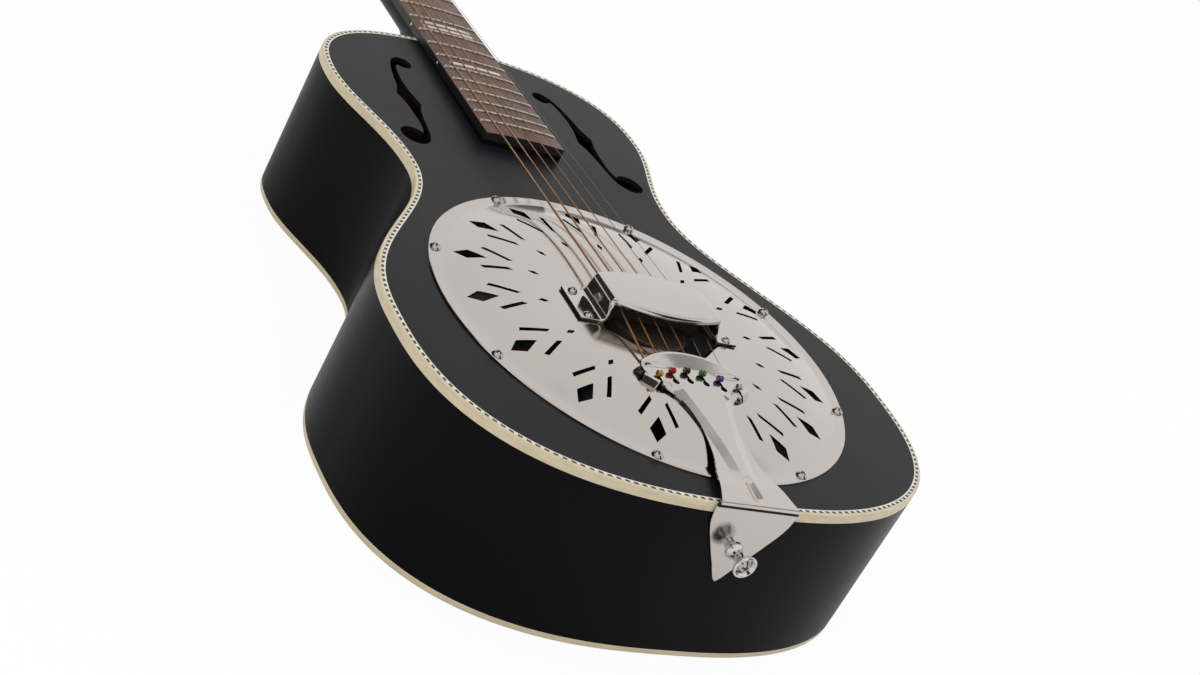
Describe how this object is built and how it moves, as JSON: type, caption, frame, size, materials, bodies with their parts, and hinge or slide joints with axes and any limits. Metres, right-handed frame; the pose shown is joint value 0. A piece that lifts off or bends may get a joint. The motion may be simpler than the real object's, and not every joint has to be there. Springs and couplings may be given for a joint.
{
  "type": "resonator guitar",
  "caption": "Black wooden-bodied single-cone resonator guitar with a perforated metal coverplate, handrest, trapeze tailpiece, bound body and open-gear tuners.",
  "frame": {"origin": "on the back's outer face, straight below the saddle", "axes": "+Y along the strings from the tail to the head, +X to the treble side, +Z out of the top"},
  "size_m": [0.337, 0.9616, 0.1297],
  "materials": {
    "body_lacquer": "satin black lacquer",
    "head_veneer": "satin black veneer",
    "lining_wood": "plain sawn basswood",
    "block_wood": "plain sawn mahogany",
    "brace_wood": "plain planed spruce",
    "well_wood": "bare plywood ring",
    "binding": "ivory plastic, softly polished",
    "purfling": "checkered black and white strip",
    "cone_aluminium": "spun, bright",
    "maple": "maple stained dark brown",
    "steel": "plain steel",
    "plate_chrome": "polished nickel plate",
    "rest_chrome": "polished nickel plate",
    "tail_chrome": "polished nickel plate",
    "screw_chrome": "polished oval heads",
    "button_chrome": "polished chrome",
    "rosewood": "open grain, dry oiled",
    "fret_wire": "polished nickel silver",
    "inlay": "pearl plastic",
    "nut_bone": "polished bone",
    "cover_plastic": "gloss black",
    "machine_nickel": "nickel plate",
    "gear_brass": "bright brass",
    "button_cream": "cream plastic",
    "bronze_string": "phosphor bronze winding",
    "plain_string": "bright plain steel",
    "ball_brass": "coloured brass ends"
  },
  "bodies": {
    "guitar": {"top_board": "body_lacquer", "back_board": "body_lacquer", "rim": "body_lacquer", "linings": "lining_wood", "end_blocks": "block_wood", "braces": "brace_wood", "soundwell": "well_wood", "bindings": "binding", "purfling": "purfling", "cone": "cone_aluminium", "biscuit": "maple", "saddle": "maple", "biscuit_screw": "steel", "coverplate": "plate_chrome", "coverplate_screws": "screw_chrome", "handrest": "rest_chrome", "handrest_screws": "screw_chrome", "tailpiece": "tail_chrome", "tail_bracket": "tail_chrome", "strap_button": "button_chrome", "strap_button_screw": "screw_chrome", "neck": "body_lacquer", "truss_rod": "steel", "fretboard": "rosewood", "frets": "fret_wire", "fret_markers": "inlay", "fretboard_support": "body_lacquer", "nut": "nut_bone", "headstock_face": "head_veneer", "truss_cover": "cover_plastic", "head_screws": "machine_nickel", "tuner_plates": "machine_nickel", "post_bushings": "machine_nickel", "wound_strings": "bronze_string", "plain_strings": "plain_string", "ball_ends": "ball_brass"},
    "post_1": {"string_post_1": "machine_nickel", "gear_1": "gear_brass"},
    "key_1": {"worm_shaft_1": "machine_nickel", "tuning_button_1": "button_cream"},
    "post_2": {"string_post_2": "machine_nickel", "gear_2": "gear_brass"},
    "key_2": {"worm_shaft_2": "machine_nickel", "tuning_button_2": "button_cream"},
    "post_3": {"string_post_3": "machine_nickel", "gear_3": "gear_brass"},
    "key_3": {"worm_shaft_3": "machine_nickel", "tuning_button_3": "button_cream"},
    "post_4": {"string_post_4": "machine_nickel", "gear_4": "gear_brass"},
    "key_4": {"worm_shaft_4": "machine_nickel", "tuning_button_4": "button_cream"},
    "post_5": {"string_post_5": "machine_nickel", "gear_5": "gear_brass"},
    "key_5": {"worm_shaft_5": "machine_nickel", "tuning_button_5": "button_cream"},
    "post_6": {"string_post_6": "machine_nickel", "gear_6": "gear_brass"},
    "key_6": {"worm_shaft_6": "machine_nickel", "tuning_button_6": "button_cream"}
  },
  "joints": [
    {"name": "key_turn_1", "type": "hinge", "parent": "guitar", "child": "key_1", "pos_m": [-0.02, 0.67307, 0.07001], "axis": [1, 0, 0], "continuous": true},
    {"name": "post_turn_1", "type": "hinge", "parent": "guitar", "child": "post_1", "pos_m": [-0.02, 0.68666, 0.08692], "axis": [0, 0.2635, 0.9646], "continuous": true},
    {"name": "key_turn_2", "type": "hinge", "parent": "guitar", "child": "key_2", "pos_m": [-0.02, 0.70683, 0.06078], "axis": [1, 0, 0], "continuous": true},
    {"name": "post_turn_2", "type": "hinge", "parent": "guitar", "child": "post_2", "pos_m": [-0.02, 0.72042, 0.0777], "axis": [0, 0.2635, 0.9646], "continuous": true},
    {"name": "key_turn_3", "type": "hinge", "parent": "guitar", "child": "key_3", "pos_m": [-0.02, 0.74059, 0.05156], "axis": [1, 0, 0], "continuous": true},
    {"name": "post_turn_3", "type": "hinge", "parent": "guitar", "child": "post_3", "pos_m": [-0.02, 0.75418, 0.06848], "axis": [0, 0.2635, 0.9646], "continuous": true},
    {"name": "key_turn_4", "type": "hinge", "parent": "guitar", "child": "key_4", "pos_m": [0.02, 0.67307, 0.07001], "axis": [1, 0, 0], "continuous": true},
    {"name": "post_turn_4", "type": "hinge", "parent": "guitar", "child": "post_4", "pos_m": [0.02, 0.68666, 0.08692], "axis": [0, 0.2635, 0.9646], "continuous": true},
    {"name": "key_turn_5", "type": "hinge", "parent": "guitar", "child": "key_5", "pos_m": [0.02, 0.70683, 0.06078], "axis": [1, 0, 0], "continuous": true},
    {"name": "post_turn_5", "type": "hinge", "parent": "guitar", "child": "post_5", "pos_m": [0.02, 0.72042, 0.0777], "axis": [0, 0.2635, 0.9646], "continuous": true},
    {"name": "key_turn_6", "type": "hinge", "parent": "guitar", "child": "key_6", "pos_m": [0.02, 0.74059, 0.05156], "axis": [1, 0, 0], "continuous": true},
    {"name": "post_turn_6", "type": "hinge", "parent": "guitar", "child": "post_6", "pos_m": [0.02, 0.75418, 0.06848], "axis": [0, 0.2635, 0.9646], "continuous": true}
  ],
  "couplings": [
    {"joint": "post_turn_1", "follows": "key_turn_1", "ratio": 0.0625},
    {"joint": "post_turn_2", "follows": "key_turn_2", "ratio": 0.0625},
    {"joint": "post_turn_3", "follows": "key_turn_3", "ratio": 0.0625},
    {"joint": "post_turn_4", "follows": "key_turn_4", "ratio": -0.0625},
    {"joint": "post_turn_5", "follows": "key_turn_5", "ratio": -0.0625},
    {"joint": "post_turn_6", "follows": "key_turn_6", "ratio": -0.0625}
  ]
}
